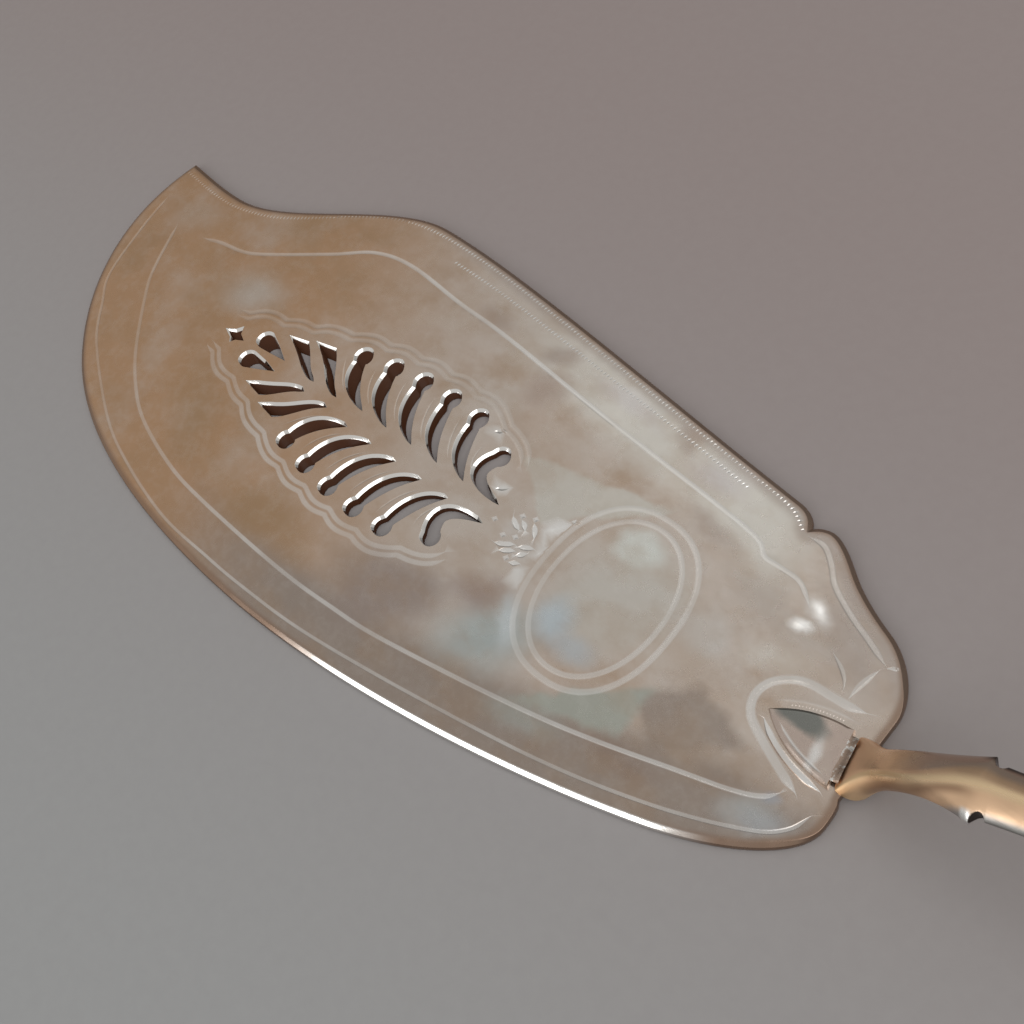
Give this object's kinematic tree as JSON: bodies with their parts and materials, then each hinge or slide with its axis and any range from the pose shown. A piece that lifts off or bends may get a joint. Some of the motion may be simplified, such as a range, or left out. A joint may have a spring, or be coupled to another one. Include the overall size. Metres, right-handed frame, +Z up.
{
  "type": "fish server",
  "caption": "Flat asymmetric silver fish slice, pierced with a fern leaf and border-engraved, with a heel plate and a cranked fiddle-pattern handle, for lifting and serving cooked fish.",
  "frame": {"origin": "on the blade's flat underside, under the middle of the engraved oval, so the part rests on a table at z = 0", "axes": "+X along the blade towards the handle's end, +Y towards the blade's straight back edge, +Z up out of the blade's engraved face"},
  "size_m": [0.2899, 0.073, 0.0317],
  "materials": {
    "blade_silver": "worn polished silver with light brown tarnish",
    "heel_silver": "worn polished silver",
    "handle_silver": "smooth polished silver with warm tarnish",
    "hard_solder": "bright uneven silver solder"
  },
  "bodies": {
    "root": {"blade": "blade_silver", "heel_plate": "heel_silver", "handle": "handle_silver", "solder_seam": "hard_solder"}
  },
  "joints": []
}
